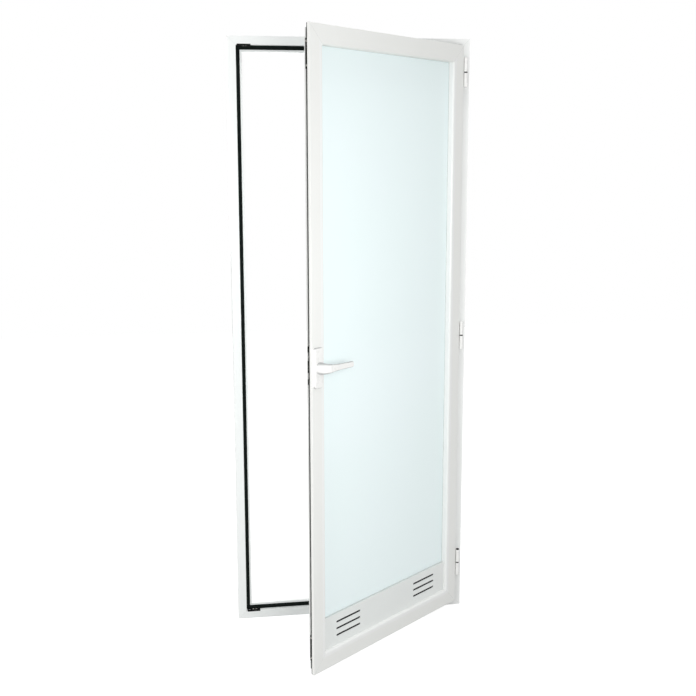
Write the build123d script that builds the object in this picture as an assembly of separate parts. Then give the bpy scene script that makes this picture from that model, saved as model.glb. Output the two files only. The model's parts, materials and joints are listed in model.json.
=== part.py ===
"""Glazed aluminium balcony door: hollow mitred frame, inward-opening sash, hinges and cremone lock."""

import math
import os

from build123d import *

# All sizes are millimetres. X runs along the door's width towards the hinges, Y from the room
# to the balcony, Z up. The origin is under the sill at mid-width and mid-depth of the frame.
# A section is drawn as (depth, inset): depth from the frame's room face, inset from its outer edge.

# Overall sizes
frame_width = 850.0
frame_height = 2100.0
frame_depth = 40.0
open_angle = 40.0  # how far the sash stands open at rest

# Frame profile
frame_face = 29.5  # width of the room face, up to the rebate
frame_wall = 1.5
frame_round = 1.0
shelf_depth = 20.5  # floor of the central gasket's seat
lip_front = 19.0
lip_start = 43.5
lip_edge = 51.0  # sight line of the doorway
lip_back = 34.0  # where the balcony side starts to splay
gasket_height = 6.0
gasket_points = ((4.8, 0.0), (6.0, 2.0), (4.6, 9.0), (2.6, 10.8), (2.6, 14.0))  # height, run

# Sash profile
sash_margin = 24.5  # frame face left showing round the closed sash
sash_proud = 14.0  # sash face in front of the frame face
flange_gap = 5.0  # air between the flange and the frame face
sash_body_inset = 36.5
groove_start = 2.0
groove_width = 10.0
groove_depth = 9.0
groove_land = 2.0  # edge of the body behind the groove
tube_inset = 68.5  # where the glazing bead meets the sash tube
leg_inset = 58.0
sash_lip = 2.0
sight_inset = 84.5  # edge of the glass opening
sash_wall = 1.6
face_round = 1.0

# Glazing
bead_depth = 20.0
bead_round = 7.0
bead_wall = 1.4
seal_front = 2.5
seal_back = 2.5
pane_thickness = 4.0
pane_gap = 16.0
glass_bite = 12.0
spacer_width = 8.0
seal_width = 6.0

# Ventilation panel
panel_height = 110.0
panel_setback = 12.0  # panel face behind the sash face
panel_wall = 1.8
channel_depth = 14.0
slot_length = 125.0
slot_height = 7.0
slot_pitch = 23.7
slot_rows = 3
slot_mid_height = 56.9  # middle row above the panel's lower sight line
slot_centre = 187.5  # slot centre from the sash's side edge
screen_thickness = 1.0  # dark insect screen behind the slotted wall
screen_margin = 8.0  # screen beyond the rows of slots

# Hinges
hinge_top_drop = 115.0  # middle of the top hinge below the frame's upper edge
hinge_middle_rise = 3.0  # middle hinge above the frame's mid-height
hinge_bottom_height = 178.0
hinge_length = 100.0
hinge_edge_gap = 7.0  # from the hinge axis to the edge of the closed sash
hinge_axis_proud = 18.0
knuckle_radius = 6.5
washer_height = 4.0
washer_recess = 0.9  # washer edge inside the knuckles
washer_play = 0.1
pin_radius = 3.5
pin_clearance = 0.1
pin_seat = 5.0  # solid metal below the pin
pin_top_gap = 0.2
leaf_thickness = 3.0
leaf_margin = 2.0  # leaf shorter than its knuckle at each end
knuckle_edge = 0.6
hinge_cap_height = 4.0
hinge_cap_step = 0.8
hinge_cap_round = 1.5
hinge_block_width = 11.0

# Handle
handle_height = 1044.0
plate_width = 37.0
plate_length = 127.0
plate_thickness = 11.0
plate_inset = 30.0
plate_round = 7.5
plate_edge = 2.5
plate_recess = 2.0
lever_reach = 47.0  # arm's front above the sash face
lever_thickness = 11.0
lever_bend = 20.0  # radius of the turn from neck to arm, on the centre line
lever_gap = 0.3
collar_radius = 15.0
# Cross-sections from the plate to the tip: place, width, height, corner radius. A place up to 1 is a
# share of the way from the plate to the end of the bend; above 1 it is millimetres from the pivot.
lever_neck_sections = (
    (0.0, 34.0, 37.0, 16.5),
    (0.3, 29.0, 36.0, 13.5),
    (0.65, 21.0, 32.0, 9.5),
    (1.0, 14.0, 27.0, 6.0),
    (28.0, 12.4, 24.5, 5.3),
)
lever_arm_sections = (
    (28.0, 12.4, 24.5, 5.3),
    (45.0, 11.6, 21.6, 5.0),
    (75.0, 11.0, 19.6, 4.8),
    (119.0, 11.0, 19.0, 4.8),
    (121.5, 10.0, 17.8, 4.4),
    (123.2, 8.0, 15.6, 3.5),
    (124.0, 5.0, 12.4, 2.2),
)

# Lock rods
rod_bar_width = 7.0
rod_bar_thickness = 5.0
rod_tip_radius = 3.5
rod_tip_length = 60.0
rod_tip_chamfer = 1.0
rod_clearance = 0.5
rod_tip_rest = 46.0  # rod's end below the frame's outer edge while unlocked
guide_start = 67.0
guide_length = 88.0
guide_stand = 2.0  # how far black fittings stand out of the groove
gearbox_length = 134.0
lug_heights = (-46.0, -8.5, 11.5, 57.0)
lug_length = 18.0
lug_stand = 2.5
gearbox_rod_gap = 30.0

# Keepers
keeper_length = 47.0
keeper_start = 33.0
keeper_width = 13.5
keeper_thickness = 3.0
keeper_setback = 0.5
keeper_round = 2.0
keeper_hole_radius = 5.0
keeper_stop_length = 8.0  # raised block at the end away from the corner
keeper_stop_height = 5.0
keeper_lip_height = 3.5  # front edge that turns over the frame face
keeper_lip_thickness = 0.8
keeper_screws = (55.0, 66.0)
keeper_screw_radius = 2.2
keeper_screw_head = 4.2

# Seals
overlap_seal_width = 4.5
overlap_seal_inset = 0.8
overlap_seal_lean = 0.6
seal_contact = 1.2  # gap left to the surface that a seal presses on

# Drainage
drain_length = 30.0
drain_height = 5.0
drain_spread = 500.0

# Values that follow from the ones above
hinge_heights = {
    "top": frame_height - hinge_top_drop,
    "middle": frame_height / 2 + hinge_middle_rise,
    "bottom": hinge_bottom_height,
}
sash_front = -sash_proud
flange_back = -flange_gap
glass_edge = sight_inset - glass_bite
glass_front = sash_front + bead_depth + seal_front
glass_back = glass_front + 2 * pane_thickness + pane_gap
sash_back = glass_back + seal_back + sash_lip
groove_end = groove_start + groove_width
groove_floor = sash_body_inset + groove_depth
rod_inset = sash_body_inset + groove_depth / 2  # the rods run in the middle of the groove
rod_depth = groove_start + groove_width / 2
sash_step_back = groove_end + groove_land  # back of the deep front part of the sash
panel_front = sash_front + panel_setback
panel_top = sight_inset + panel_height
hinge_x = frame_width / 2 - sash_margin + hinge_edge_gap
hinge_y = -frame_depth / 2 - hinge_axis_proud
hinge_axis = Axis((hinge_x, hinge_y, 0), (0, 0, 1))
half_depth = frame_depth / 2
reach = 200.0  # longer than any section is deep


def section(points, rounds=None):
    """A closed outline of (depth, inset) points, with some of its corners rounded."""
    face = make_face(Polyline(*points, close=True))
    for (depth, inset), radius in (rounds or {}).items():
        corner = face.vertices().sort_by_distance((depth, inset, 0))[0]
        face = fillet(corner, radius)
    return face


def rectangle(depth_a, depth_b, inset_a, inset_b):
    return section([(depth_a, inset_a), (depth_b, inset_a), (depth_b, inset_b), (depth_a, inset_b)])


def run_along(profile, length):
    """Extrudes a section along X, centred, standing on the ground as the bottom member does."""
    drawn = Plane.YZ.offset(-length / 2) * profile
    return Pos(0, -half_depth, 0) * extrude(drawn, length, dir=(1, 0, 0))


def place(member, side):
    """Turns a bottom member to the side of the door where it belongs."""
    if side == "bottom":
        return member
    if side == "top":
        return Pos(0, 0, frame_height) * Rot(0, 180, 0) * member
    turn, edge = (90, -1) if side == "lock" else (-90, 1)
    return Pos(edge * frame_width / 2, 0, frame_height / 2) * Rot(0, turn, 0) * member


def side_length(side):
    return frame_width if side in ("top", "bottom") else frame_height


def mitred(profile, side):
    """One member of a ring: the section run along its side, cut at 45 degrees at both ends."""
    length = side_length(side)
    deep = 2 * sight_inset
    half = length / 2
    wedge = make_face(
        Polyline((-half, 0), (half, 0), (half - deep, deep), (-half + deep, deep), close=True)
    )
    wedge = extrude(Plane.XZ * wedge, reach, both=True)
    return place(run_along(profile, length) & wedge, side)


def ring(profile):
    """A closed ring of one section, joined at its mitres."""
    sides = [mitred(profile, side) for side in ("bottom", "top", "lock", "hinge")]
    return sides[0].fuse(*sides[1:]).clean()


def swung(part):
    """Turns a piece of the closed sash to where it stands open."""
    return part.rotate(hinge_axis, open_angle)


def block(x, y, z):
    """A box between two X, two Y and two Z values."""
    size = (x[1] - x[0], y[1] - y[0], z[1] - z[0])
    return Pos((x[0] + x[1]) / 2, (y[0] + y[1]) / 2, (z[0] + z[1]) / 2) * Box(*size)


def upright(radius, x, y, z):
    """A round bar along Z between two heights."""
    return Pos(x, y, (z[0] + z[1]) / 2) * Cylinder(radius, z[1] - z[0])


def at_depth(depth):
    return depth - half_depth


def from_lock_side(inset):
    return inset - frame_width / 2


def from_hinge_side(inset):
    return frame_width / 2 - inset


# Frame
def frame_section():
    def outline(t):
        splay = t * (math.sqrt(2) - 1)
        return [
            (t, t),
            (t, frame_face - t),
            (shelf_depth + t, frame_face - t),
            (shelf_depth + t, lip_start + t),
            (lip_front + t, lip_start + t),
            (lip_front + t, lip_edge - t),
            (lip_back - splay, lip_edge - t),
            (frame_depth - t, lip_edge - (frame_depth - lip_back) - splay),
            (frame_depth - t, t),
        ]

    outer = section(outline(0), {(0, frame_face): frame_round, (lip_front, lip_edge): frame_round})
    web = rectangle(0, frame_depth, frame_face - frame_wall, frame_face)
    return outer - (section(outline(frame_wall)) - web)


def rod_hole(end):
    """The round hole that a lock rod enters, through a keeper and the frame wall behind it."""
    z = (lip_start, frame_face - 3 * frame_wall)
    if end == "top":
        z = tuple(frame_height - value for value in z)
    return upright(
        keeper_hole_radius, from_lock_side(rod_inset), at_depth(rod_depth), sorted(z)
    )


def drain_holes():
    """Slots in the balcony wall of the sill, which let rain out of the hollow profile."""
    slot = Rot(90, 0, 0) * extrude(SlotOverall(drain_length, drain_height), frame_depth / 4, both=True)
    z = frame_face / 2
    return [Pos(x, half_depth, z) * slot for x in (-drain_spread / 2, drain_spread / 2)]


def make_frame():
    profile = frame_section()
    members = {
        "frame_sill": mitred(profile, "bottom") - rod_hole("bottom"),
        "frame_head": mitred(profile, "top") - rod_hole("top"),
        "frame_lock_jamb": mitred(profile, "lock"),
        "frame_hinge_jamb": mitred(profile, "hinge"),
    }
    members["frame_sill"] -= drain_holes()
    return members


def central_gasket_section():
    crest = [(shelf_depth - height, frame_face + run) for height, run in gasket_points]
    return section([(shelf_depth, frame_face), *crest, (shelf_depth, lip_start)])


def make_gaskets():
    profile = central_gasket_section()
    names = {"bottom": "gasket_sill", "top": "gasket_head", "lock": "gasket_lock_jamb",
             "hinge": "gasket_hinge_jamb"}
    return {name: mitred(profile, side) for side, name in names.items()}


def make_keepers():
    """Black plates in the head and sill rebates: a hole for the rod, a raised stop, two screws."""
    ends = (from_lock_side(keeper_start), from_lock_side(keeper_start + keeper_length))
    back = keeper_setback + keeper_width
    middle = at_depth((keeper_setback + back) / 2)
    stop = (ends[1] - keeper_stop_length, ends[1])
    plate = block(ends, (at_depth(0), at_depth(back)), (0, keeper_thickness))
    plate = fillet(plate.edges().filter_by(Axis.Z).group_by(Axis.Y)[-1], keeper_round)
    plate += block(stop, (at_depth(keeper_setback), at_depth(back)), (0, keeper_stop_height))
    lip = (at_depth(-keeper_lip_thickness), at_depth(0))
    plate += block(ends, lip, (-keeper_lip_height, keeper_thickness))
    for inset in keeper_screws:
        x = from_lock_side(inset)
        plate -= upright(keeper_screw_radius, x, middle, (0, keeper_thickness))
        plate -= Pos(x, middle, keeper_thickness) * Rot(180, 0, 0) * Cone(
            keeper_screw_head, keeper_screw_radius, keeper_screw_head - keeper_screw_radius,
            align=(Align.CENTER, Align.CENTER, Align.MIN),
        )
    sill = Pos(0, 0, frame_face) * plate
    head = mirror(sill, Plane.XY.offset(frame_height / 2))
    return {"sill_keeper": sill - rod_hole("bottom"), "head_keeper": head - rod_hole("top")}


# Hinges
def on_axis(radius, z):
    return upright(radius, hinge_x, hinge_y, z)


def knuckle(z):
    """A barrel round the hinge axis with softened ends."""
    barrel = on_axis(knuckle_radius, z)
    return chamfer(barrel.edges().filter_by(GeomType.CIRCLE), knuckle_edge)


def make_hinges():
    frame_side, sash_side = {}, {}
    half = (hinge_length - washer_height) / 2
    neck_x = (hinge_x - hinge_block_width / 2, hinge_x + hinge_block_width / 2)
    leg_x = (hinge_x + knuckle_radius - leaf_thickness, hinge_x + knuckle_radius)
    leaf_x = (from_hinge_side(sash_body_inset), leg_x[1])
    leaf_back = at_depth(flange_back + leaf_thickness)
    for name, middle in hinge_heights.items():
        low, high = middle - hinge_length / 2, middle + hinge_length / 2
        washer_z = (low + half, low + half + washer_height)
        pin_z = (low + pin_seat, high - leaf_thickness)
        lower = knuckle((low, washer_z[0]))
        lower += block(neck_x, (hinge_y, at_depth(0)), (low, washer_z[0]))
        frame_side[f"hinge_{name}_frame_half"] = lower - on_axis(pin_radius, (pin_z[0], washer_z[0]))
        frame_side[f"hinge_{name}_pin"] = on_axis(pin_radius, pin_z)
        frame_side[f"hinge_{name}_washer"] = on_axis(
            knuckle_radius - washer_recess, washer_z
        ) - on_axis(pin_radius, washer_z)
        upper_z = (washer_z[1] + washer_play, high)
        leaf_z = (upper_z[0] + leaf_margin, high - leaf_margin)
        upper = knuckle(upper_z) + block(leg_x, (hinge_y, leaf_back), leaf_z)
        upper += block(leaf_x, (at_depth(flange_back), leaf_back), leaf_z)
        upper -= on_axis(pin_radius + pin_clearance, (upper_z[0], pin_z[1] + pin_top_gap))
        sash_side[f"hinge_{name}_sash_half"] = swung(upper)
        if name == "bottom":
            cap = on_axis(knuckle_radius - hinge_cap_step, (high, high + hinge_cap_height))
            top_edge = cap.edges().filter_by(GeomType.CIRCLE).sort_by(Axis.Z)[-1]
            sash_side["hinge_bottom_cap"] = swung(fillet(top_edge, hinge_cap_round))
    return frame_side, sash_side


# Sash
def sash_section():
    """The sash profile: flange, hardware groove in its outer edge, tube and rear leg."""
    lip_face = sash_back - sash_lip
    outer = section(
        [
            (sash_front, sash_margin),
            (sash_front, tube_inset),
            (lip_face, tube_inset),
            (lip_face, sight_inset),
            (sash_back, sight_inset),
            (sash_back, leg_inset),
            (sash_step_back, leg_inset),
            (sash_step_back, sash_body_inset),
            (groove_end, sash_body_inset),
            (groove_end, groove_floor),
            (groove_start, groove_floor),
            (groove_start, sash_body_inset),
            (flange_back, sash_body_inset),
            (flange_back, sash_margin),
        ],
        {(sash_front, sash_margin): face_round},
    )
    t = sash_wall
    hollow = section(
        [
            (sash_front + t, sash_margin + t),
            (sash_front + t, tube_inset - t),
            (sash_back - t, tube_inset - t),
            (sash_back - t, leg_inset + t),
            (sash_step_back - t, leg_inset + t),
            (sash_step_back - t, groove_floor + t),
            (groove_start - t, groove_floor + t),
            (groove_start - t, sash_body_inset + t),
            (flange_back - t, sash_body_inset + t),
            (flange_back - t, sash_margin + t),
        ]
    )
    web = rectangle(sash_front, sash_step_back, groove_floor, groove_floor + t)
    return outer - (hollow - web)


def bead_section():
    back = sash_front + bead_depth
    outer = section(
        [(sash_front, tube_inset), (sash_front, sight_inset), (back, sight_inset), (back, tube_inset)],
        {(sash_front, sight_inset): bead_round},
    )
    hollow = section(
        [
            (sash_front + bead_wall, tube_inset + bead_wall),
            (sash_front + bead_wall, sight_inset - bead_wall),
            (back - bead_wall, sight_inset - bead_wall),
            (back - bead_wall, tube_inset + bead_wall),
        ],
        {(sash_front + bead_wall, sight_inset - bead_wall): bead_round - bead_wall},
    )
    return outer - hollow


def lever_hole_centre():
    return from_lock_side(plate_inset + plate_width / 2)


def make_sash():
    profile = sash_section()
    names = {"bottom": "sash_bottom_rail", "top": "sash_top_rail", "lock": "sash_lock_stile",
             "hinge": "sash_hinge_stile"}
    parts = {name: mitred(profile, side) for side, name in names.items()}
    bead = bead_section()
    bead_names = {"bottom": "bead_bottom", "top": "bead_top", "lock": "bead_lock_side",
                  "hinge": "bead_hinge_side"}
    parts.update({name: mitred(bead, side) for side, name in bead_names.items()})
    return {name: swung(part) for name, part in parts.items()}


def seal_ring_section(depth_a, depth_b):
    return rectangle(depth_a, depth_b, sight_inset - seal_width, sight_inset)


def make_glazing():
    """Two panes and their spacer, with the seals round the rebate and in the panel's channel."""
    x = (from_lock_side(glass_edge), from_hinge_side(glass_edge))
    z = (panel_top - channel_depth, frame_height - glass_edge)
    room = (at_depth(glass_front), at_depth(glass_front + pane_thickness))
    outside = (at_depth(glass_back - pane_thickness), at_depth(glass_back))
    spacer = block(x, (room[1], outside[0]), z)
    spacer -= block(
        (x[0] + spacer_width, x[1] - spacer_width),
        (room[0], outside[1]),
        (z[0] + spacer_width, z[1] - spacer_width),
    )
    across = (from_lock_side(sight_inset), from_hinge_side(sight_inset))
    channel = (panel_top - channel_depth, panel_top)
    front = ring(seal_ring_section(glass_front - seal_front, glass_front))
    front += block(across, (at_depth(panel_front + panel_wall), at_depth(glass_front)), channel)
    back = ring(seal_ring_section(glass_back, sash_back - sash_lip))
    back += block(across, (at_depth(glass_back), at_depth(sash_back - panel_wall)), channel)
    parts = {
        "inner_pane": block(x, room, z),
        "outer_pane": block(x, outside, z),
        "glass_spacer": spacer,
        "glazing_seal_front": front,
        "glazing_seal_back": back,
    }
    return {name: swung(part) for name, part in parts.items()}


def panel_slots():
    """Three rows of round-ended slots near each side, through both walls of the panel."""
    slot = Rot(90, 0, 0) * extrude(SlotOverall(slot_length, slot_height), reach / 2, both=True)
    centre = frame_width / 2 - sash_margin - slot_centre
    rows = [(row - (slot_rows - 1) / 2) * slot_pitch for row in range(slot_rows)]
    return [
        Pos(side * centre, 0, sight_inset + slot_mid_height + row) * slot
        for side in (-1, 1)
        for row in rows
    ]


def make_vent_panel():
    """A hollow panel with a glass channel along its top and tongues that enter the rebate."""
    x = (from_lock_side(sight_inset), from_hinge_side(sight_inset))
    tongue_x = (from_lock_side(glass_edge), from_hinge_side(glass_edge))
    y = (at_depth(panel_front), at_depth(sash_back))
    tongue_y = (at_depth(glass_front), at_depth(glass_back))
    floor = panel_top - channel_depth
    panel = block(x, y, (sight_inset, panel_top))
    panel += block(tongue_x, tongue_y, (glass_edge, floor))
    panel -= block(
        tongue_x, (y[0] + panel_wall, y[1] - panel_wall), (sight_inset + panel_wall, floor - panel_wall)
    )
    panel -= block(tongue_x, (y[0] + panel_wall, y[1] - panel_wall), (floor, panel_top))
    panel -= panel_slots()
    half_rows = (slot_rows - 1) / 2 * slot_pitch + slot_height / 2 + screen_margin
    middle = sight_inset + slot_mid_height
    screen = block(
        (x[0] + screen_margin, x[1] - screen_margin),
        (y[0] + panel_wall, y[0] + panel_wall + screen_thickness),
        (middle - half_rows, middle + half_rows),
    )
    return {"vent_panel": swung(panel), "vent_screen": swung(screen)}


def make_overlap_seal():
    """The black seal behind the sash flange, notched where the hinge leaves pass."""
    start = sash_margin + overlap_seal_inset
    tip = -seal_contact
    profile = section(
        [
            (flange_back, start),
            (tip, start + overlap_seal_lean),
            (tip, start + overlap_seal_width / 2),
            (flange_back, start + overlap_seal_width),
        ]
    )
    seal = ring(profile)
    half = (hinge_length - washer_height) / 2
    for middle in hinge_heights.values():
        high = middle + hinge_length / 2
        seal -= block(
            (from_hinge_side(sash_body_inset), hinge_x),
            (at_depth(flange_back), at_depth(0)),
            (high - half, high),
        )
    return {"overlap_seal": swung(seal)}


# Lock and handle
def groove_block(z, stand):
    """A block that fills the hardware groove of the lock stile and stands a little out of it."""
    x = (from_lock_side(sash_body_inset - stand), from_lock_side(sash_body_inset + groove_depth))
    return block(x, (at_depth(groove_start), at_depth(groove_start + groove_width)), z)


def rod_slot(z):
    clear = rod_clearance
    x = from_lock_side(rod_inset)
    half_x, half_y = rod_bar_thickness / 2 + clear, rod_bar_width / 2 + clear
    y = at_depth(rod_depth)
    slot = block((x - half_x, x + half_x), (y - half_y, y + half_y), z)
    return slot + upright(rod_tip_radius + clear, x, y, z)


def make_lock():
    top_guide_z = (frame_height - guide_start - guide_length, frame_height - guide_start)
    bottom_guide_z = (guide_start, guide_start + guide_length)
    box_z = (handle_height - gearbox_length / 2, handle_height + gearbox_length / 2)
    gearbox = groove_block(box_z, 0)
    for offset in lug_heights:
        middle = handle_height + offset
        gearbox += groove_block((middle - lug_length / 2, middle + lug_length / 2), lug_stand)
    parts = {
        "top_rod_guide": groove_block(top_guide_z, guide_stand) - rod_slot(top_guide_z),
        "bottom_rod_guide": groove_block(bottom_guide_z, guide_stand) - rod_slot(bottom_guide_z),
        "gearbox": gearbox - rod_slot(box_z),
    }
    return {name: swung(part) for name, part in parts.items()}


def make_rods():
    x, y = from_lock_side(rod_inset), at_depth(rod_depth)
    half_x, half_y = rod_bar_thickness / 2, rod_bar_width / 2
    rods = {}
    for name, end, start, direction in (
        ("top_rod", frame_height - rod_tip_rest, handle_height + gearbox_rod_gap / 2, 1),
        ("bottom_rod", rod_tip_rest, handle_height - gearbox_rod_gap / 2, -1),
    ):
        neck = end - direction * rod_tip_length
        bar = block((x - half_x, x + half_x), (y - half_y, y + half_y), sorted((start, neck)))
        tip = upright(rod_tip_radius, x, y, sorted((neck, end)))
        point = tip.edges().filter_by(GeomType.CIRCLE).sort_by(Axis.Z)[-1 if direction > 0 else 0]
        rods[name] = swung(bar + chamfer(point, rod_tip_chamfer))
    return rods


def make_handle_plate():
    x = (from_lock_side(plate_inset), from_lock_side(plate_inset + plate_width))
    y = (at_depth(sash_front - plate_thickness), at_depth(sash_front))
    z = (handle_height - plate_length / 2, handle_height + plate_length / 2)
    plate = block(x, y, z)
    plate = fillet(plate.edges().filter_by(Axis.Y), plate_round)
    front = plate.faces().sort_by(Axis.Y)[0]
    plate = fillet(front.edges(), plate_edge)
    recess = Pos(lever_hole_centre(), y[0], handle_height) * Rot(90, 0, 0) * Cylinder(
        collar_radius + lever_gap, 2 * plate_recess
    )
    return {"handle_plate": swung(plate - recess)}


def lever_profile(place, width, height, radius):
    """One cross-section of the lever, square to the line from the plate round to the tip."""
    plate_front = at_depth(sash_front) - plate_thickness
    arm_y = at_depth(sash_front) - lever_reach + lever_thickness / 2
    straight = (plate_front - lever_gap) - (arm_y + lever_bend)
    arc = lever_bend * math.pi / 2
    along = place * (straight + arc)
    if place > 1:
        turn, x, y = 90.0, place, arm_y
    elif along < straight:
        turn, x, y = 0.0, 0.0, plate_front - lever_gap - along
    else:
        turn = math.degrees((along - straight) / lever_bend)
        swing = math.radians(turn)
        x = lever_bend * (1 - math.cos(swing))
        y = arm_y + lever_bend * (1 - math.sin(swing))
    swing = math.radians(turn)
    across = (math.cos(swing), math.sin(swing), 0)
    ahead = (math.sin(swing), -math.cos(swing), 0)
    at = (lever_hole_centre() + x, y, handle_height)
    return Plane(at, x_dir=across, z_dir=ahead) * RectangleRounded(width, height, radius)


def make_lever():
    """The lever: a neck that narrows and turns from the plate into a flat arm, and its collar."""
    arm = loft([lever_profile(*values) for values in lever_neck_sections])
    arm += loft([lever_profile(*values) for values in lever_arm_sections], ruled=True)
    plate_front = at_depth(sash_front) - plate_thickness
    collar_y = (plate_front - lever_gap, plate_front + plate_recess - lever_gap)
    collar = Pos(lever_hole_centre(), sum(collar_y) / 2, handle_height) * Rot(90, 0, 0) * Cylinder(
        collar_radius, collar_y[1] - collar_y[0]
    )
    return {"lever_handle": swung(arm + collar)}


def main():
    os.makedirs("parts", exist_ok=True)
    frame_hinges, sash_hinges = make_hinges()
    nodes = {}
    for group in (
        make_frame(),
        make_gaskets(),
        make_keepers(),
        frame_hinges,
        make_sash(),
        make_glazing(),
        make_vent_panel(),
        make_overlap_seal(),
        sash_hinges,
        make_handle_plate(),
        make_lock(),
        make_rods(),
        make_lever(),
    ):
        nodes.update(group)
    for name, shape in nodes.items():
        shape.label = name
        export_step(shape, f"parts/{name}.step")
        print(name, round(shape.volume))


main()
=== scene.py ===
import bmesh
import bpy
import json
import math
from mathutils import Matrix, Vector


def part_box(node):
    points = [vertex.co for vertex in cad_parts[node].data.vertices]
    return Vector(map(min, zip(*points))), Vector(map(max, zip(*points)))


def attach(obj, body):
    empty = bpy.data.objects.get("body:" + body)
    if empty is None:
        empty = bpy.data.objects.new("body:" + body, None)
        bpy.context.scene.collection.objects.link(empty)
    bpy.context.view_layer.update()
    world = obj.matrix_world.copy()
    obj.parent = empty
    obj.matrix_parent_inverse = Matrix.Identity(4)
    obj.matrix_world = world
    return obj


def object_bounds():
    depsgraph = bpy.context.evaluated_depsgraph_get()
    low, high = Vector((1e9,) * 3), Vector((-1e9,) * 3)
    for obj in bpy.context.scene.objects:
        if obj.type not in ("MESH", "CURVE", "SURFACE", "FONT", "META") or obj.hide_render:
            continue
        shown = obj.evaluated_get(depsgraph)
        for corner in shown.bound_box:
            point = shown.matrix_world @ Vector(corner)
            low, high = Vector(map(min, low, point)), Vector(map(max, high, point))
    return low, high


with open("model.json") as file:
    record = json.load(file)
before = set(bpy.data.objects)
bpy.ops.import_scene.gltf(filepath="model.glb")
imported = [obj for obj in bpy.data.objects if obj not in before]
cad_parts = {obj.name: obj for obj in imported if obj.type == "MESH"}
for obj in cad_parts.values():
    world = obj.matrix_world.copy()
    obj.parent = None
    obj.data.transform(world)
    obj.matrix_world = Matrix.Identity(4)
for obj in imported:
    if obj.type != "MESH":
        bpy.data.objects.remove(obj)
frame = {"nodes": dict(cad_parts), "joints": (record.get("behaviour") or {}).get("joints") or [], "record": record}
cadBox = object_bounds()
cadNodes = frame["nodes"]
record = frame["record"]
print("balcony door: frame loaded,", len(cadNodes), "parts")

# the sash is modelled standing open, so closed places are turned by this about the hinge axis
sashJoint = next(joint for joint in frame["joints"] if joint["name"] == "sash_swing")
hingeAxis = Vector(sashJoint["pos_m"])
openAngle = math.radians(-sashJoint["range_deg"][0])
swing = Matrix.Rotation(openAngle, 4, "Z")


# node helpers

def addNode(tree, kind, place, **values):
    # values are inputs or settings of the node, by name
    node = tree.nodes.new(kind)
    node.location = place
    for name, value in values.items():
        if name in node.inputs:
            node.inputs[name].default_value = value
        else:
            setattr(node, name, value)
    return node


def link(tree, source, target):
    tree.links.new(source, target)


def newGroup(name, inputs, outputs):
    # inputs are (name, socket kind, start value), outputs are (name, socket kind)
    group = bpy.data.node_groups.new(name, "ShaderNodeTree")
    for socketName, kind, start in inputs:
        socket = group.interface.new_socket(socketName, in_out="INPUT", socket_type=kind)
        if start is not None:
            socket.default_value = start
    for socketName, kind in outputs:
        group.interface.new_socket(socketName, in_out="OUTPUT", socket_type=kind)
    entry = group.nodes.new("NodeGroupInput")
    entry.location = (-1100, 0)
    leave = group.nodes.new("NodeGroupOutput")
    leave.location = (1000, 0)
    return group, entry, leave


def newMaterial(name):
    material = bpy.data.materials.new(name)
    material.use_nodes = True
    tree = material.node_tree
    shader = tree.nodes["Principled BSDF"]
    return material, tree, shader


def useGroup(tree, group, place, values):
    # values by the names of the group's inputs
    node = addNode(tree, "ShaderNodeGroup", place, node_tree=group)
    for name, value in values.items():
        node.inputs[name].default_value = value
    return node


def mathNode(tree, operation, place, first, second=None):
    # first and second are sockets or plain numbers
    node = addNode(tree, "ShaderNodeMath", place, operation=operation)
    for slot, value in enumerate((first, second)):
        if isinstance(value, (int, float)):
            node.inputs[slot].default_value = value
        elif value is not None:
            link(tree, value, node.inputs[slot])
    return node.outputs[0]


def mixColor(tree, place, factor, first, second):
    # first and second are sockets or plain colors
    node = addNode(tree, "ShaderNodeMix", place, data_type="RGBA")
    link(tree, factor, node.inputs["Factor"])
    for socket, value in (("A", first), ("B", second)):
        slot = next(entry for entry in node.inputs if entry.name == socket and entry.type == "RGBA")
        if isinstance(value, tuple):
            slot.default_value = (*value, 1)
        else:
            link(tree, value, slot)
    return next(entry for entry in node.outputs if entry.type == "RGBA")


# shared surface effects

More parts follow.
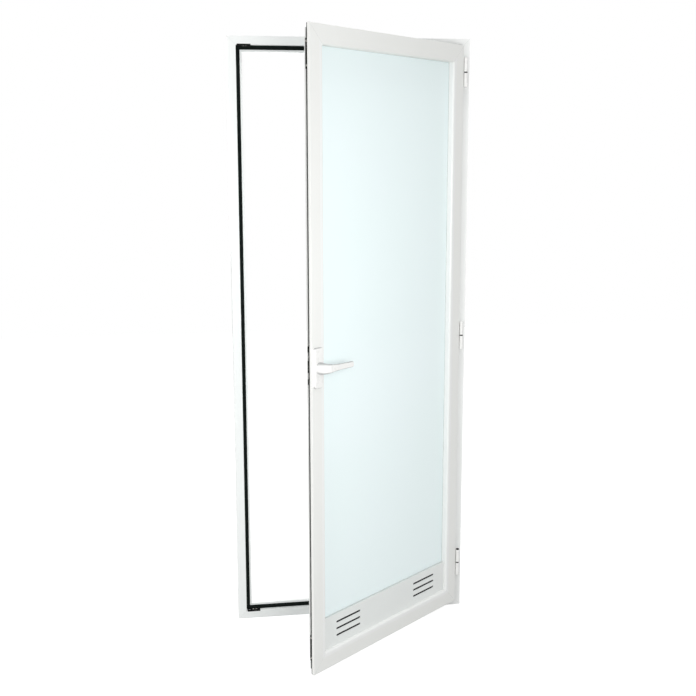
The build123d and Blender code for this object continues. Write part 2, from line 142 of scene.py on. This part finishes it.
def makeFinishGroup():
    # sprayed or moulded skin: cloudy tint, fine grain over a slow ripple, uneven gloss
    group, entry, leave = newGroup(
        "surfaceFinish",
        [("Vector", "NodeSocketVector", None),
         ("Tint", "NodeSocketColor", (0.8, 0.8, 0.8, 1)),
         ("Cloud Tint", "NodeSocketColor", (0.78, 0.78, 0.78, 1)),
         ("Cloud Scale", "NodeSocketFloat", 6.0),
         ("Grain Scale", "NodeSocketFloat", 900.0),
         ("Ripple Scale", "NodeSocketFloat", 320.0),
         ("Ripple", "NodeSocketFloat", 0.6),
         ("Rough Low", "NodeSocketFloat", 0.35),
         ("Rough High", "NodeSocketFloat", 0.5)],
        [("Color", "NodeSocketColor"), ("Roughness", "NodeSocketFloat"), ("Height", "NodeSocketFloat")])
    cloud = addNode(group, "ShaderNodeTexNoise", (-750, 300), Detail=3.0, Roughness=0.55)
    grain = addNode(group, "ShaderNodeTexNoise", (-750, 50), Detail=2.0, Roughness=0.6)
    ripple = addNode(group, "ShaderNodeTexNoise", (-750, -200), Detail=1.0)
    smear = addNode(group, "ShaderNodeTexNoise", (-750, -450), Scale=38.0, Detail=4.0, Roughness=0.6)
    for texture in (cloud, grain, ripple, smear):
        link(group, entry.outputs["Vector"], texture.inputs["Vector"])
    link(group, entry.outputs["Cloud Scale"], cloud.inputs["Scale"])
    link(group, entry.outputs["Grain Scale"], grain.inputs["Scale"])
    link(group, entry.outputs["Ripple Scale"], ripple.inputs["Scale"])
    tone = addNode(group, "ShaderNodeMapRange", (-450, 300))
    tone.inputs["From Min"].default_value = 0.35
    tone.inputs["From Max"].default_value = 0.7
    link(group, cloud.outputs["Fac"], tone.inputs["Value"])
    tinted = mixColor(group, (-150, 300), tone.outputs["Result"], entry.outputs["Tint"],
                      entry.outputs["Cloud Tint"])
    link(group, tinted, leave.inputs["Color"])
    gloss = addNode(group, "ShaderNodeMapRange", (-150, -350))
    gloss.inputs["From Min"].default_value = 0.3
    gloss.inputs["From Max"].default_value = 0.7
    link(group, smear.outputs["Fac"], gloss.inputs["Value"])
    link(group, entry.outputs["Rough Low"], gloss.inputs["To Min"])
    link(group, entry.outputs["Rough High"], gloss.inputs["To Max"])
    link(group, gloss.outputs["Result"], leave.inputs["Roughness"])
    slow = mathNode(group, "MULTIPLY", (-450, -150), ripple.outputs["Fac"], entry.outputs["Ripple"])
    height = mathNode(group, "ADD", (-150, -50), slow, grain.outputs["Fac"])
    link(group, height, leave.inputs["Height"])
    return group


def makeMitreGroup():
    # hairline where two mitred members meet: 1 on the diagonal through each corner of a rectangle
    group, entry, leave = newGroup(
        "mitreLine",
        [("Vector", "NodeSocketVector", None),
         ("Half Width", "NodeSocketFloat", 0.4),
         ("Half Height", "NodeSocketFloat", 1.0),
         ("Line Width", "NodeSocketFloat", 0.0005)],
        [("Line", "NodeSocketFloat")])
    split = addNode(group, "ShaderNodeSeparateXYZ", (-850, 0))
    link(group, entry.outputs["Vector"], split.inputs["Vector"])
    aside = mathNode(group, "ABSOLUTE", (-650, 150), split.outputs["X"])
    aboveMiddle = mathNode(group, "SUBTRACT", (-650, -50), split.outputs["Z"], entry.outputs["Half Height"])
    away = mathNode(group, "ABSOLUTE", (-450, -50), aboveMiddle)
    fromSide = mathNode(group, "SUBTRACT", (-450, 150), aside, entry.outputs["Half Width"])
    fromEnd = mathNode(group, "SUBTRACT", (-250, -50), away, entry.outputs["Half Height"])
    skew = mathNode(group, "SUBTRACT", (-50, 50), fromSide, fromEnd)
    apart = mathNode(group, "ABSOLUTE", (150, 50), skew)
    share = mathNode(group, "DIVIDE", (350, 50), apart, entry.outputs["Line Width"])
    line = mathNode(group, "SUBTRACT", (550, 50), 1.0, share)
    clean = mathNode(group, "MAXIMUM", (750, 50), line, 0.0)
    link(group, clean, leave.inputs["Line"])
    return group


def makeDustGroup():
    # thin film of dust that settles on faces turned upwards, in soft patches
    group, entry, leave = newGroup(
        "dustFilm",
        [("Vector", "NodeSocketVector", None),
         ("Color", "NodeSocketColor", (0.8, 0.8, 0.8, 1)),
         ("Roughness", "NodeSocketFloat", 0.4),
         ("Dust Tint", "NodeSocketColor", (0.6, 0.58, 0.55, 1)),
         ("Amount", "NodeSocketFloat", 0.15),
         ("Patch Scale", "NodeSocketFloat", 26.0)],
        [("Color", "NodeSocketColor"), ("Roughness", "NodeSocketFloat")])
    patch = addNode(group, "ShaderNodeTexNoise", (-800, -250), Detail=5.0, Roughness=0.65)
    link(group, entry.outputs["Vector"], patch.inputs["Vector"])
    link(group, entry.outputs["Patch Scale"], patch.inputs["Scale"])
    geometry = addNode(group, "ShaderNodeNewGeometry", (-1000, -500))
    split = addNode(group, "ShaderNodeSeparateXYZ", (-800, -500))
    link(group, geometry.outputs["Normal"], split.inputs["Vector"])
    upward = addNode(group, "ShaderNodeMapRange", (-550, -500))
    upward.inputs["From Min"].default_value = 0.6
    upward.inputs["From Max"].default_value = 0.95
    link(group, split.outputs["Z"], upward.inputs["Value"])
    patches = addNode(group, "ShaderNodeMapRange", (-550, -250))
    patches.inputs["From Min"].default_value = 0.35
    patches.inputs["From Max"].default_value = 0.65
    link(group, patch.outputs["Fac"], patches.inputs["Value"])
    settled = mathNode(group, "MULTIPLY", (-300, -350), upward.outputs["Result"], patches.outputs["Result"])
    film = mathNode(group, "MULTIPLY", (-100, -350), settled, entry.outputs["Amount"])
    dusty = mixColor(group, (200, 150), film, entry.outputs["Color"], entry.outputs["Dust Tint"])
    link(group, dusty, leave.inputs["Color"])
    dull = mathNode(group, "ADD", (200, -200), film, entry.outputs["Roughness"])
    link(group, dull, leave.inputs["Roughness"])
    return group


def makeDrawnGroup():
    # fine lines that drawing or grinding leaves along a bar
    group, entry, leave = newGroup(
        "drawnLines",
        [("Vector", "NodeSocketVector", None),
         ("Stretch", "NodeSocketVector", (1.0, 1.0, 0.02)),
         ("Line Scale", "NodeSocketFloat", 1500.0)],
        [("Lines", "NodeSocketFloat")])
    squash = addNode(group, "ShaderNodeVectorMath", (-700, 0), operation="MULTIPLY")
    link(group, entry.outputs["Vector"], squash.inputs[0])
    link(group, entry.outputs["Stretch"], squash.inputs[1])
    lines = addNode(group, "ShaderNodeTexNoise", (-400, 0), Detail=2.0, Roughness=0.7)
    link(group, squash.outputs["Vector"], lines.inputs["Vector"])
    link(group, entry.outputs["Line Scale"], lines.inputs["Scale"])
    link(group, lines.outputs["Fac"], leave.inputs["Lines"])
    return group


def makeWeaveGroup():
    # plain wire weave in the X and Z of the closed sash
    group, entry, leave = newGroup(
        "wireWeave",
        [("Vector", "NodeSocketVector", None), ("Pitch", "NodeSocketFloat", 0.0016)],
        [("Wire", "NodeSocketFloat")])
    split = addNode(group, "ShaderNodeSeparateXYZ", (-850, 0))
    link(group, entry.outputs["Vector"], split.inputs["Vector"])
    waves = []
    for row, axisName in enumerate(("X", "Z")):
        level = -200 * row
        turns = mathNode(group, "DIVIDE", (-600, level), split.outputs[axisName], entry.outputs["Pitch"])
        angle = mathNode(group, "MULTIPLY", (-400, level), turns, math.pi)
        wave = mathNode(group, "SINE", (-200, level), angle)
        waves.append(mathNode(group, "ABSOLUTE", (0, level), wave))
    wire = mathNode(group, "MAXIMUM", (250, -100), waves[0], waves[1])
    link(group, wire, leave.inputs["Wire"])
    return group


def makeTurnedShadeGroup():
    # painted shade: 1 on rounded edges of the closed sash that turn up, down or towards the hinges
    group, entry, leave = newGroup(
        "turnedEdgePaintedShade",
        [("Turn", "NodeSocketFloat", 0.0),
         ("Start", "NodeSocketFloat", 0.3),
         ("Full", "NodeSocketFloat", 0.8)],
        [("Painted Shade", "NodeSocketFloat")])
    coords = addNode(group, "ShaderNodeTexCoord", (-850, 100))
    closed = addNode(group, "ShaderNodeVectorRotate", (-650, 100), rotation_type="Z_AXIS")
    link(group, coords.outputs["Normal"], closed.inputs["Vector"])
    link(group, entry.outputs["Turn"], closed.inputs["Angle"])
    split = addNode(group, "ShaderNodeSeparateXYZ", (-450, 100))
    link(group, closed.outputs["Vector"], split.inputs["Vector"])
    steep = mathNode(group, "ABSOLUTE", (-250, 0), split.outputs["Z"])
    most = mathNode(group, "MAXIMUM", (-50, 50), split.outputs["X"], steep)
    edge = addNode(group, "ShaderNodeMapRange", (150, 50))
    link(group, most, edge.inputs["Value"])
    link(group, entry.outputs["Start"], edge.inputs["From Min"])
    link(group, entry.outputs["Full"], edge.inputs["From Max"])
    link(group, edge.outputs["Result"], leave.inputs["Painted Shade"])
    return group


finishGroup = makeFinishGroup()
mitreGroup = makeMitreGroup()
dustGroup = makeDustGroup()
drawnGroup = makeDrawnGroup()
weaveGroup = makeWeaveGroup()
edgeGroup = makeTurnedShadeGroup()


def coordsOf(tree, onSash=False):
    # places on the part, in metres; on the sash they are turned back to the closed door
    coords = addNode(tree, "ShaderNodeTexCoord", (-1500, 0))
    if not onSash:
        return coords.outputs["Object"]
    turn = addNode(tree, "ShaderNodeVectorRotate", (-1300, 0), rotation_type="Z_AXIS")
    turn.inputs["Center"].default_value = hingeAxis
    turn.inputs["Angle"].default_value = -openAngle
    link(tree, coords.outputs["Object"], turn.inputs["Vector"])
    return turn.outputs["Vector"]


skinDefaults = {"ripple": 0.3, "metallic": 0.0, "specular": 0.5, "coat": 0.0}


def finishMaterial(name, ownLook, onSash=False):
    look = {**skinDefaults, **ownLook}
    material, tree, shader = newMaterial(name)
    place = coordsOf(tree, onSash)
    skin = useGroup(tree, finishGroup, (-1050, 0), {
        "Tint": (*look["tint"], 1), "Cloud Tint": (*look["cloudTint"], 1),
        "Cloud Scale": look["cloudScale"], "Grain Scale": look["grainScale"], "Ripple": look["ripple"],
        "Rough Low": look["rough"][0], "Rough High": look["rough"][1]})
    link(tree, place, skin.inputs["Vector"])
    color, roughness, height = skin.outputs["Color"], skin.outputs["Roughness"], skin.outputs["Height"]
    if "dust" in look:
        dust = look["dust"]
        film = useGroup(tree, dustGroup, (-550, 100), {
            "Dust Tint": (*dust["tint"], 1), "Amount": dust["amount"], "Patch Scale": dust["patchScale"]})
        link(tree, place, film.inputs["Vector"])
        link(tree, color, film.inputs["Color"])
        link(tree, roughness, film.inputs["Roughness"])
        color, roughness = film.outputs["Color"], film.outputs["Roughness"]
    if "mitre" in look:
        seam = useGroup(tree, mitreGroup, (-800, -400), {
            "Half Width": cadBox[1][0], "Half Height": cadBox[1][2] / 2,
            "Line Width": look["mitre"]["lineWidth"]})
        link(tree, place, seam.inputs["Vector"])
        color = mixColor(tree, (-300, 100), seam.outputs["Line"], color, look["mitre"]["tint"])
        height = mathNode(tree, "SUBTRACT", (-500, -400), height, seam.outputs["Line"])
    # painted shade: darkens the rounded edges that turn up, down or towards the hinges
    if "edge" in look:
        shadeMask = useGroup(tree, edgeGroup, (-800, -1150), {
            "Turn": -openAngle, "Start": look["edge"]["start"], "Full": look["edge"]["full"]})
        color = mixColor(tree, (-300, 250), shadeMask.outputs["Painted Shade"], color, look["edge"]["tint"])
    if "drawn" in look:
        drawn = useGroup(tree, drawnGroup, (-800, -650), {
            "Stretch": look["drawn"]["stretch"], "Line Scale": look["drawn"]["lineScale"]})
        link(tree, place, drawn.inputs["Vector"])
        height = mathNode(tree, "ADD", (-500, -600), height, drawn.outputs["Lines"])
    if "weave" in look:
        weave = useGroup(tree, weaveGroup, (-800, -900), {"Pitch": look["weave"]["pitch"]})
        link(tree, place, weave.inputs["Vector"])
        color = mixColor(tree, (-300, -100), weave.outputs["Wire"], look["weave"]["holeTint"], color)
        height = weave.outputs["Wire"]
    bump = addNode(tree, "ShaderNodeBump", (-250, -350), Strength=look["bumpStrength"],
                   Distance=look["bumpDepth"])
    link(tree, color, shader.inputs["Base Color"])
    link(tree, roughness, shader.inputs["Roughness"])
    link(tree, height, bump.inputs["Height"])
    link(tree, bump.outputs["Normal"], shader.inputs["Normal"])
    shader.inputs["Metallic"].default_value = look["metallic"]
    shader.inputs["Specular IOR Level"].default_value = look["specular"]
    shader.inputs["Coat Weight"].default_value = look["coat"]
    return material


# finishes: tints are linear, depths and line widths in metres, the stretch of drawn lines is per axis

settledDust = {"tint": (0.66, 0.64, 0.6), "amount": 0.12, "patchScale": 30.0}
mitreSeam = {"lineWidth": 0.00045, "tint": (0.42, 0.43, 0.42)}
plainCoat = {"tint": (0.835, 0.848, 0.838), "cloudTint": (0.82, 0.833, 0.822), "cloudScale": 4.0,
             "grainScale": 900.0, "ripple": 0.8, "rough": (0.34, 0.44), "bumpStrength": 0.3,
             "bumpDepth": 0.00012, "dust": settledDust}
frameCoat = dict(plainCoat, mitre=mitreSeam)
# painted shade: the sash takes a darker copy of the frame's powder coat
sashCoatPaintedShade = dict(frameCoat, tint=(0.812, 0.82, 0.798), cloudTint=(0.797, 0.805, 0.782))
beadCoat = dict(frameCoat, tint=(0.83, 0.84, 0.828), rough=(0.28, 0.38))
panelCoat = dict(plainCoat, tint=(0.79, 0.815, 0.8), cloudTint=(0.77, 0.795, 0.78))
castLacquer = {"tint": (0.82, 0.82, 0.805), "cloudTint": (0.805, 0.805, 0.79), "cloudScale": 12.0,
               "grainScale": 1500.0, "ripple": 1.2, "rough": (0.24, 0.34), "bumpStrength": 0.15,
               "bumpDepth": 0.00008, "coat": 0.2}
# handle plate and lever: cast lacquer with painted shade on edges turned up, down or towards the hinges
handleLacquerPaintedShade = dict(castLacquer, edge={"start": 0.3, "full": 0.85, "tint": (0.36, 0.37, 0.37)})
softRubber = {"tint": (0.004, 0.0065, 0.0055), "cloudTint": (0.008, 0.011, 0.01), "cloudScale": 60.0,
              "grainScale": 2600.0, "rough": (0.45, 0.6), "bumpStrength": 0.35, "bumpDepth": 0.0001,
              "specular": 0.04, "dust": {"tint": (0.1, 0.1, 0.095), "amount": 0.1, "patchScale": 60.0}}
paleRubber = dict(softRubber, tint=(0.6, 0.63, 0.62), cloudTint=(0.56, 0.59, 0.58), rough=(0.55, 0.7),
                  specular=0.3)
mouldedNylon = {"tint": (0.005, 0.005, 0.005), "cloudTint": (0.009, 0.009, 0.009), "cloudScale": 50.0,
                "grainScale": 3200.0, "rough": (0.4, 0.55), "bumpStrength": 0.3, "bumpDepth": 0.00006,
                "specular": 0.08}
screenMesh = dict(mouldedNylon, tint=(0.006, 0.006, 0.006), cloudTint=(0.01, 0.01, 0.01), bumpStrength=0.8,
                  bumpDepth=0.0003, weave={"pitch": 0.0016, "holeTint": (0.002, 0.002, 0.002)})
groundSteel = {"tint": (0.62, 0.62, 0.61), "cloudTint": (0.5, 0.5, 0.5), "cloudScale": 90.0,
               "grainScale": 4000.0, "rough": (0.22, 0.36), "bumpStrength": 0.15, "bumpDepth": 0.00003,
               "metallic": 1.0, "drawn": {"stretch": (1.0, 1.0, 0.02), "lineScale": 1800.0}}
zincScrew = dict(groundSteel, tint=(0.66, 0.65, 0.6), cloudTint=(0.56, 0.55, 0.5), rough=(0.25, 0.42),
                 drawn={"stretch": (1.0, 0.2, 1.0), "lineScale": 2600.0})
socketBlack = dict(mouldedNylon, tint=(0.02, 0.02, 0.02), rough=(0.3, 0.45), specular=0.3)
millSpacer = dict(groundSteel, tint=(0.72, 0.73, 0.74), cloudTint=(0.66, 0.67, 0.68), rough=(0.3, 0.45))
blackRod = {"tint": (0.03, 0.03, 0.032), "cloudTint": (0.045, 0.045, 0.047), "cloudScale": 40.0,
            "grainScale": 2400.0, "rough": (0.3, 0.45), "bumpStrength": 0.2, "bumpDepth": 0.00005,
            "drawn": {"stretch": (1.0, 1.0, 0.015), "lineScale": 1600.0}}

slotLooks = {
    "white_coat": finishMaterial("powderCoatFrame", frameCoat),
    "fitting_coat": finishMaterial("castLacquerWhite", castLacquer),
    "black_rubber": finishMaterial("rubberBlack", softRubber),
    "grey_rubber": finishMaterial("rubberGrey", paleRubber),
    "black_nylon": finishMaterial("nylonBlack", mouldedNylon),
    "pin_steel": finishMaterial("steelGround", groundSteel),
    "spacer_metal": finishMaterial("spacerAluminium", millSpacer),
    "rod_metal": finishMaterial("rodBlack", blackRod),
}
sashPaintedShadeMaterial = finishMaterial("powderCoatSashPaintedShade", sashCoatPaintedShade, onSash=True)
beadMaterial = finishMaterial("powderCoatBead", beadCoat, onSash=True)
panelMaterial = finishMaterial("powderCoatPanel", panelCoat, onSash=True)
screenMaterial = finishMaterial("screenWeave", screenMesh, onSash=True)
handleMaterial = finishMaterial("castLacquerHandlePaintedShade", handleLacquerPaintedShade, onSash=True)
nodeLooks = {"vent_panel": panelMaterial, "vent_screen": screenMaterial,
             "handle_plate": handleMaterial, "lever_handle": handleMaterial}
for side in ("top_rail", "bottom_rail", "lock_stile", "hinge_stile"):
    nodeLooks["sash_" + side] = sashPaintedShadeMaterial
for side in ("bottom", "lock_side", "hinge_side"):
    nodeLooks["bead_" + side] = beadMaterial
nodeLooks["bead_top"] = sashPaintedShadeMaterial  # as grey as the rail, since little light reaches it
screwMaterial = finishMaterial("zincScrew", zincScrew)
socketMaterial = finishMaterial("socketBlack", socketBlack)


# glass: a pale satin pane with slow clouds in its tint and a soft gloss

paneLook = {"tint": (0.89, 0.99, 1.0), "cloudTint": (0.875, 0.99, 0.985), "through": 0.05,
            "cloudScale": 1.6, "rough": (0.06, 0.12), "ior": 1.45}


def makePaneMaterial(name, look):
    material, tree, shader = newMaterial(name)
    skin = useGroup(tree, finishGroup, (-500, 0), {
        "Tint": (*look["tint"], 1), "Cloud Tint": (*look["cloudTint"], 1),
        "Cloud Scale": look["cloudScale"], "Rough Low": look["rough"][0], "Rough High": look["rough"][1]})
    link(tree, coordsOf(tree, onSash=True), skin.inputs["Vector"])
    link(tree, skin.outputs["Color"], shader.inputs["Base Color"])
    link(tree, skin.outputs["Roughness"], shader.inputs["Roughness"])
    shader.inputs["Transmission Weight"].default_value = look["through"]
    shader.inputs["IOR"].default_value = look["ior"]
    return material


slotLooks["clear_glass"] = makePaneMaterial("paneGlass", paneLook)

for part in record["subparts"]:
    obj = cadNodes[part["node"]]
    obj.data.materials.clear()
    obj.data.materials.append(nodeLooks.get(part["node"], slotLooks[part["material_slot"]]))
print("balcony door: finishes on all parts")


# screws: each stands along its own +Z, with the face it sits in at height 0

screwDetail = {"sides": 32, "armShare": 0.3, "edgeSteps": 2, "edgeAngle": 40}


def onCircle(radius, step, count):
    turn = 2 * math.pi * step / count
    return radius * math.cos(turn), radius * math.sin(turn)


def driveShape(kind, size):
    # outline of the recess: a cross with narrow arms, or a hexagon
    if kind == "hex":
        return [onCircle(size, corner, 6) for corner in range(6)]
    arm = size * screwDetail["armShare"]
    points = []
    for alongX, alongY in ((1, 0), (0, 1), (-1, 0), (0, -1)):
        for out, aside in ((size, -arm), (size, arm), (arm, arm)):
            points.append((out * alongX - aside * alongY, out * alongY + aside * alongX))
    return points


def bridge(bm, upper, lower):
    # a band of faces between two loops of equal length
    for step, vert in enumerate(upper):
        after = (step + 1) % len(upper)
        bm.faces.new((upper[after], vert, lower[step], lower[after]))


def screwMesh(bm, look, place):
    start = len(bm.verts)
    sides = screwDetail["sides"]
    rings = [[bm.verts.new((*onCircle(radius, step, sides), height)) for step in range(sides)]
             for radius, height in look["flank"]]
    outline = driveShape(look["drive"], look["driveSize"])
    top = look["flank"][0][1]
    mouth = [bm.verts.new((x, y, top)) for x, y in outline]
    bottom = top - look["driveDepth"]
    floor = [bm.verts.new((x * look["taper"], y * look["taper"], bottom)) for x, y in outline]
    edges = [bm.edges.new((loop[step], loop[(step + 1) % len(loop)]))
             for loop in (rings[0], mouth) for step in range(len(loop))]
    bmesh.ops.triangle_fill(bm, use_beauty=True, edges=edges)
    for upper, lower in zip(rings, rings[1:]):
        bridge(bm, upper, lower)
    bm.faces.new(list(reversed(rings[-1])))
    bridge(bm, list(reversed(mouth)), list(reversed(floor)))
    bm.faces.new(floor)
    bm.verts.ensure_lookup_table()
    bmesh.ops.transform(bm, matrix=place, verts=bm.verts[start:])


def facing(at, direction, turn=0.0):
    # places a piece with its +Z along the direction, turned about itself first
    spin = Matrix.Rotation(turn, 4, "Z")
    return Matrix.Translation(at) @ Vector(direction).to_track_quat("Z", "Y").to_matrix().to_4x4() @ spin


def makeScrews(name, look, places, body, material):
    bm = bmesh.new()
    for place in places:
        screwMesh(bm, look, place)
    bmesh.ops.recalc_face_normals(bm, faces=bm.faces)
    mesh = bpy.data.meshes.new(name)
    bm.to_mesh(mesh)
    bm.free()
    obj = bpy.data.objects.new(name, mesh)
    bpy.context.scene.collection.objects.link(obj)
    mesh.materials.append(material)
    soften = obj.modifiers.new("softEdges", "BEVEL")
    soften.width = look["softEdge"]
    soften.segments = screwDetail["edgeSteps"]
    soften.limit_method = "ANGLE"
    soften.angle_limit = math.radians(screwDetail["edgeAngle"])
    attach(obj, body)


def middleOf(node):
    low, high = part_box(node)
    return (low + high) / 2


# countersunk cross-head screws in the two keepers

keeperScrews = {"flank": [(0.0038, 0.0), (0.00395, -0.0002), (0.0021, -0.0021), (0.0021, -0.0028)],
                "drive": "cross", "driveSize": 0.0022, "driveDepth": 0.0014, "taper": 0.55,
                "softEdge": 0.00008, "fromCorner": (0.022, 0.033), "belowStop": 0.0021, "fromBack": 0.00675,
                "turns": (0.3, 1.1)}


def makeKeeperScrews(look):
    for node, upward in (("sill_keeper", 1), ("head_keeper", -1)):
        low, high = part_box(node)
        level = high.z - look["belowStop"] if upward > 0 else low.z + look["belowStop"]
        places = [facing((low.x + step, high.y - look["fromBack"], level), (0, 0, upward), turn)
                  for step, turn in zip(look["fromCorner"], look["turns"])]
        makeScrews(node + "_screws", look, places, "frame", screwMaterial)


# low pan-head screws that hold the rod guides and the gearbox in the sash groove

grooveScrews = {"flank": [(0.0016, 0.0009), (0.0026, 0.0006), (0.0031, 0.0), (0.0031, -0.0003)],
                "drive": "cross", "driveSize": 0.0014, "driveDepth": 0.0007, "taper": 0.6,
                "softEdge": 0.00006, "guideFace": 0.0055, "guideEnds": (-0.035, 0.035),
                "gearboxFace": 0.00325, "gearboxHeights": (-0.027, 0.034),
                "firstTurn": 0.6, "turnPerMetre": 9}


def makeGrooveScrews(look):
    outward = swing @ Vector((-1, 0, 0))
    for node, face, heights in (("top_rod_guide", look["guideFace"], look["guideEnds"]),
                                ("bottom_rod_guide", look["guideFace"], look["guideEnds"]),
                                ("gearbox", look["gearboxFace"], look["gearboxHeights"])):
        base = middleOf(node) + outward * face
        places = [facing(base + Vector((0, 0, height)), outward,
                         look["firstTurn"] + look["turnPerMetre"] * height) for height in heights]
        makeScrews(node + "_screws", look, places, "sash", screwMaterial)


# hex-socket clamp screws in the neck of each frame half of a hinge

clampScrews = {"flank": [(0.0026, 0.0003), (0.0029, 0.0), (0.0029, -0.0008)],
               "drive": "hex", "driveSize": 0.0016, "driveDepth": 0.001, "taper": 0.9,
               "softEdge": 0.00006, "neckHalf": 0.0055, "fromWall": 0.0055, "heights": (0.012, 0.036),
               "turnPerMetre": 20}


def makeClampScrews(look):
    for level in ("top", "middle", "bottom"):
        node = "hinge_" + level + "_frame_half"
        low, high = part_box(node)
        x = (low.x + high.x) / 2 - look["neckHalf"]
        places = [facing((x, high.y - look["fromWall"], low.z + height), (-1, 0, 0),
                         look["turnPerMetre"] * height) for height in look["heights"]]
        makeScrews(node + "_screws", look, places, "frame", socketMaterial)


# hex-socket set screw under the lever's neck

setScrew = {"flank": [(0.0019, 0.00025), (0.0021, 0.0), (0.0021, -0.0012)],
            "drive": "hex", "driveSize": 0.0012, "driveDepth": 0.001, "taper": 0.9,
            "softEdge": 0.00006, "inFrontOfPlate": 0.006, "belowAxis": 0.0182}


def makeSetScrew(look):
    low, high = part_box("handle_plate")
    room = swing @ Vector((0, -1, 0))
    leverJoint = next(joint for joint in frame["joints"] if joint["name"] == "lever_turn")
    at = Vector(leverJoint["pos_m"]) + room * look["inFrontOfPlate"]
    at.z = (low.z + high.z) / 2 - look["belowAxis"]
    makeScrews("lever_set_screw", look, [facing(at, (0, 0, -1))], "lever", screwMaterial)


makeKeeperScrews(keeperScrews)
makeGrooveScrews(grooveScrews)
makeClampScrews(clampScrews)
makeSetScrew(setScrew)
print("balcony door: screws in keepers, guides, gearbox, hinges and lever")


# floor, lights, camera

stage = {"floorSize": 14.0, "floorGap": 0.0004, "floorTint": 0.5, "floorRough": 0.9, "floorGlow": 0.8,
         "ambient": 0.66}
lamps = [
    {"name": "frontLamp", "at": (0.12, -2.15, 1.38), "aim": (0.05, -0.3, 1.25), "size": (0.7, 0.7),
     "power": 17},
    {"name": "leftLamp", "at": (-2.6, -2.9, 0.7), "aim": (-0.2, -0.1, 0.6), "size": (1.6, 1.2),
     "power": 31},
    {"name": "topLamp", "at": (-0.3, -1.0, 5.2), "aim": (-0.1, -0.15, 1.0), "size": (1.4, 0.9),
     "power": 48},
    {"name": "backLamp", "at": (-0.4, 3.4, 1.9), "aim": (0.0, 0.0, 1.0), "size": (1.6, 1.6),
     "power": 48},
]


def whiteRays(tree, place):
    # 1 for rays that show the scene to the camera: straight, mirrored or through glass
    path = addNode(tree, "ShaderNodeLightPath", place)
    seen = mathNode(tree, "MAXIMUM", (place[0] + 250, place[1]), path.outputs["Is Camera Ray"],
                    path.outputs["Is Glossy Ray"])
    return mathNode(tree, "MAXIMUM", (place[0] + 450, place[1]), seen, path.outputs["Is Transmission Ray"])


def makeWorld(look):
    world = bpy.data.worlds.new("studioWorld")
    bpy.context.scene.world = world
    world.use_nodes = True
    tree = world.node_tree
    back = tree.nodes["Background"]
    back.inputs["Color"].default_value = (1, 1, 1, 1)
    level = addNode(tree, "ShaderNodeMapRange", (-250, 100))
    level.inputs["To Min"].default_value = look["ambient"]
    level.inputs["To Max"].default_value = 1.0
    link(tree, whiteRays(tree, (-900, 0)), level.inputs["Value"])
    link(tree, level.outputs["Result"], back.inputs["Strength"])


def makeFloor(look):
    mesh = bpy.data.meshes.new("floorPlane")
    half = look["floorSize"] / 2
    mesh.from_pydata([(-half, -half, 0), (half, -half, 0), (half, half, 0), (-half, half, 0)], [],
                     [(0, 1, 2, 3)])
    floor = bpy.data.objects.new("floorPlane", mesh)
    bpy.context.scene.collection.objects.link(floor)
    floor.location.z = cadBox[0][2] - look["floorGap"]
    material, tree, shader = newMaterial("floorWhite")
    tone = look["floorTint"]
    shader.inputs["Base Color"].default_value = (tone, tone, tone, 1)
    shader.inputs["Roughness"].default_value = look["floorRough"]
    shader.inputs["Specular IOR Level"].default_value = 0.0
    glow = mathNode(tree, "MULTIPLY", (-250, -300), whiteRays(tree, (-900, -300)), look["floorGlow"])
    shader.inputs["Emission Color"].default_value = (1, 1, 1, 1)
    link(tree, glow, shader.inputs["Emission Strength"])
    mesh.materials.append(material)


def makeLamp(look):
    light = bpy.data.lights.new(look["name"], "AREA")
    light.shape = "RECTANGLE"
    light.size, light.size_y = look["size"]
    light.energy = look["power"]
    lamp = bpy.data.objects.new(look["name"], light)
    bpy.context.scene.collection.objects.link(lamp)
    lamp.location = look["at"]
    aim = Vector(look["aim"]) - Vector(look["at"])
    lamp.rotation_euler = aim.to_track_quat("-Z", "Y").to_euler()


# the camera stands a little left of the door, above its middle
cameraLook = {"at": (-0.62834, -3.6702, 1.64158), "yaw": 8.5499, "pitch": -10.0705, "roll": -0.275,
              "lens": 53.529, "sensorWidth": 36.0, "shift": (0.02713, 0.01196), "farthest": 60.0}


def makeCamera(look):
    camera = bpy.data.cameras.new("doorCamera")
    camera.lens = look["lens"]
    camera.sensor_width = look["sensorWidth"]
    camera.shift_x, camera.shift_y = look["shift"]
    camera.clip_end = look["farthest"]
    obj = bpy.data.objects.new("doorCamera", camera)
    bpy.context.scene.collection.objects.link(obj)
    yaw, pitch, roll = (math.radians(look[key]) for key in ("yaw", "pitch", "roll"))
    ahead = Vector((math.sin(yaw) * math.cos(pitch), math.cos(yaw) * math.cos(pitch), math.sin(pitch)))
    right = Vector((math.cos(yaw), -math.sin(yaw), 0))
    up = right.cross(ahead)
    rolledRight = right * math.cos(roll) + up * math.sin(roll)
    rolledUp = up * math.cos(roll) - right * math.sin(roll)
    turn = Matrix((rolledRight, rolledUp, -ahead)).transposed()
    obj.matrix_world = Matrix.Translation(look["at"]) @ turn.to_4x4()
    bpy.context.scene.camera = obj


makeWorld(stage)
makeFloor(stage)
for lampLook in lamps:
    makeLamp(lampLook)
makeCamera(cameraLook)
bpy.context.scene.view_settings.view_transform = "Standard"
print("balcony door: floor, lamps and camera set")
